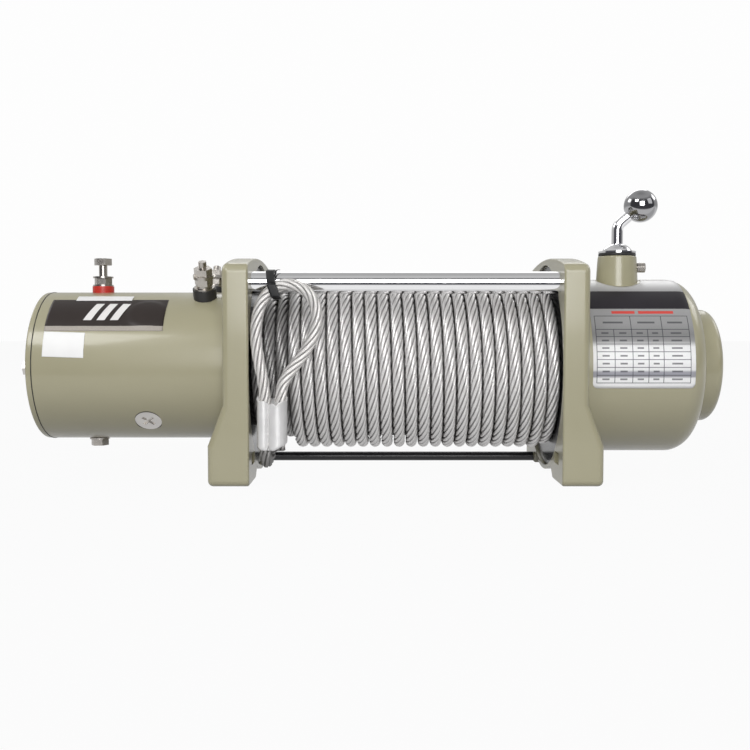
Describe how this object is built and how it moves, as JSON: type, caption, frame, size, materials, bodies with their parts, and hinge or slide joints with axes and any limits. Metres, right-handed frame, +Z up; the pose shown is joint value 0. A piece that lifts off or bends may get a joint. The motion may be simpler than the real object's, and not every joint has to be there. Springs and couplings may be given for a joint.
{
  "type": "vehicle winch",
  "caption": "Electric vehicle winch with a wire-rope drum between two cast supports, a cylindrical motor at one end and a planetary gearbox with a clutch lever at the other.",
  "frame": {"origin": "centre of the four mounting bolts, on the plane that the feet stand on", "axes": "+X along the drum axis from the motor to the gearbox, -Y towards the side that the rope leaves from, +Z up"},
  "size_m": [0.5238, 0.1668, 0.2204],
  "materials": {
    "olive_paint": "gloss",
    "chrome": "polished",
    "black_rod": "satin",
    "rope_steel": "galvanised",
    "flange_steel": "polished",
    "zinc": "zinc plated",
    "gear_steel": "machined",
    "bush_bronze": "plain bearing",
    "copper": "enamelled copper",
    "iron": "laminated",
    "carbon": "carbon",
    "board": "phenolic",
    "red_insulator": "moulded",
    "black_insulator": "moulded",
    "ferrule": "pressed",
    "nylon": "nylon",
    "seal_rubber": "matt",
    "brake_lining": "friction lining"
  },
  "bodies": {
    "frame": {"motor_side_support": "olive_paint", "gear_side_support": "olive_paint", "front_tie_bar": "chrome", "rear_tie_bar": "chrome", "lower_tie_rod": "black_rod", "tie_bar_screws": "zinc", "mounting_nuts": "zinc", "drum_bushes": "bush_bronze", "motor_housing": "olive_paint", "motor_end_cap": "olive_paint", "motor_drive_plate": "iron", "field_poles": "iron", "field_coils": "copper", "pole_screws": "zinc", "motor_through_bolts": "zinc", "brush_plate": "board", "brushes": "carbon", "motor_bearings": "gear_steel", "armature_insulator": "red_insulator", "field_insulators": "black_insulator", "terminal_studs": "zinc", "terminal_nuts": "zinc", "ground_bolt": "zinc", "gear_housing": "olive_paint", "gear_end_cover": "olive_paint", "fixed_ring_gears": "gear_steel", "gearbox_screws": "zinc", "clutch_seal": "seal_rubber", "detent_screw": "zinc", "rope_tail": "rope_steel", "rope_ferrule": "ferrule", "cable_tie": "nylon"},
    "motor_shaft": {"armature_shaft": "gear_steel", "armature_core": "iron", "armature_windings": "copper", "commutator": "copper", "shaft_coupling": "gear_steel", "brake_shoes": "brake_lining", "drive_shaft": "gear_steel", "first_sun_gear": "gear_steel"},
    "drum": {"drum_tube": "gear_steel", "drum_flanges": "flange_steel", "rope_core": "rope_steel", "rope_outer_layer": "rope_steel", "rope_inner_turns": "rope_steel", "third_carrier": "gear_steel"},
    "first_carrier": {"first_carrier": "gear_steel"},
    "second_carrier": {"second_carrier": "gear_steel"},
    "clutch_lever": {"clutch_lever": "chrome", "clutch_knob": "chrome"},
    "clutch_ring": {"clutch_ring_gear": "gear_steel"},
    "first_planet_1": {"first_planet_1": "gear_steel"},
    "first_planet_2": {"first_planet_2": "gear_steel"},
    "first_planet_3": {"first_planet_3": "gear_steel"},
    "second_planet_1": {"second_planet_1": "gear_steel"},
    "second_planet_2": {"second_planet_2": "gear_steel"},
    "second_planet_3": {"second_planet_3": "gear_steel"},
    "third_planet_1": {"third_planet_1": "gear_steel"},
    "third_planet_2": {"third_planet_2": "gear_steel"},
    "third_planet_3": {"third_planet_3": "gear_steel"}
  },
  "joints": [
    {"name": "drum_spin", "type": "hinge", "parent": "frame", "child": "drum", "pos_m": [0, 0, 0.084], "axis": [1, 0, 0], "continuous": true},
    {"name": "second_carrier_spin", "type": "hinge", "parent": "frame", "child": "second_carrier", "pos_m": [0, 0, 0.084], "axis": [1, 0, 0], "continuous": true},
    {"name": "first_carrier_spin", "type": "hinge", "parent": "frame", "child": "first_carrier", "pos_m": [0, 0, 0.084], "axis": [1, 0, 0], "continuous": true},
    {"name": "motor_shaft_spin", "type": "hinge", "parent": "frame", "child": "motor_shaft", "pos_m": [0, 0, 0.084], "axis": [1, 0, 0], "continuous": true},
    {"name": "first_planet_1_spin", "type": "hinge", "parent": "first_carrier", "child": "first_planet_1", "pos_m": [0.196, 0, 0.111], "axis": [1, 0, 0], "continuous": true},
    {"name": "first_planet_2_spin", "type": "hinge", "parent": "first_carrier", "child": "first_planet_2", "pos_m": [0.196, -0.02338, 0.0705], "axis": [1, 0, 0], "continuous": true},
    {"name": "first_planet_3_spin", "type": "hinge", "parent": "first_carrier", "child": "first_planet_3", "pos_m": [0.196, 0.02338, 0.0705], "axis": [1, 0, 0], "continuous": true},
    {"name": "second_planet_1_spin", "type": "hinge", "parent": "second_carrier", "child": "second_planet_1", "pos_m": [0.1711, 0, 0.111], "axis": [1, 0, 0], "continuous": true},
    {"name": "second_planet_2_spin", "type": "hinge", "parent": "second_carrier", "child": "second_planet_2", "pos_m": [0.1711, -0.02338, 0.0705], "axis": [1, 0, 0], "continuous": true},
    {"name": "second_planet_3_spin", "type": "hinge", "parent": "second_carrier", "child": "second_planet_3", "pos_m": [0.1711, 0.02338, 0.0705], "axis": [1, 0, 0], "continuous": true},
    {"name": "third_planet_1_spin", "type": "hinge", "parent": "drum", "child": "third_planet_1", "pos_m": [0.14685, 0, 0.111], "axis": [1, 0, 0], "continuous": true},
    {"name": "third_planet_2_spin", "type": "hinge", "parent": "drum", "child": "third_planet_2", "pos_m": [0.14685, -0.02338, 0.0705], "axis": [1, 0, 0], "continuous": true},
    {"name": "third_planet_3_spin", "type": "hinge", "parent": "drum", "child": "third_planet_3", "pos_m": [0.14685, 0.02338, 0.0705], "axis": [1, 0, 0], "continuous": true},
    {"name": "clutch_lever_turn", "type": "hinge", "parent": "frame", "child": "clutch_lever", "pos_m": [0.1662, -0.012, 0.169], "axis": [0, 0, 1], "range_deg": [0, 90]},
    {"name": "clutch_ring_slide", "type": "slide", "parent": "frame", "child": "clutch_ring", "axis": [1, 0, 0], "range_m": [0, 0.006]}
  ],
  "couplings": [
    {"joint": "second_carrier_spin", "follows": "drum_spin", "ratio": 6},
    {"joint": "first_carrier_spin", "follows": "drum_spin", "ratio": 36},
    {"joint": "motor_shaft_spin", "follows": "drum_spin", "ratio": 216},
    {"joint": "first_planet_1_spin", "follows": "drum_spin", "ratio": -90},
    {"joint": "first_planet_2_spin", "follows": "drum_spin", "ratio": -90},
    {"joint": "first_planet_3_spin", "follows": "drum_spin", "ratio": -90},
    {"joint": "second_planet_1_spin", "follows": "drum_spin", "ratio": -15},
    {"joint": "second_planet_2_spin", "follows": "drum_spin", "ratio": -15},
    {"joint": "second_planet_3_spin", "follows": "drum_spin", "ratio": -15},
    {"joint": "third_planet_1_spin", "follows": "drum_spin", "ratio": -2.5},
    {"joint": "third_planet_2_spin", "follows": "drum_spin", "ratio": -2.5},
    {"joint": "third_planet_3_spin", "follows": "drum_spin", "ratio": -2.5},
    {"joint": "clutch_lever_turn", "follows": "clutch_ring_slide", "rad_per_m": 261.8}
  ]
}
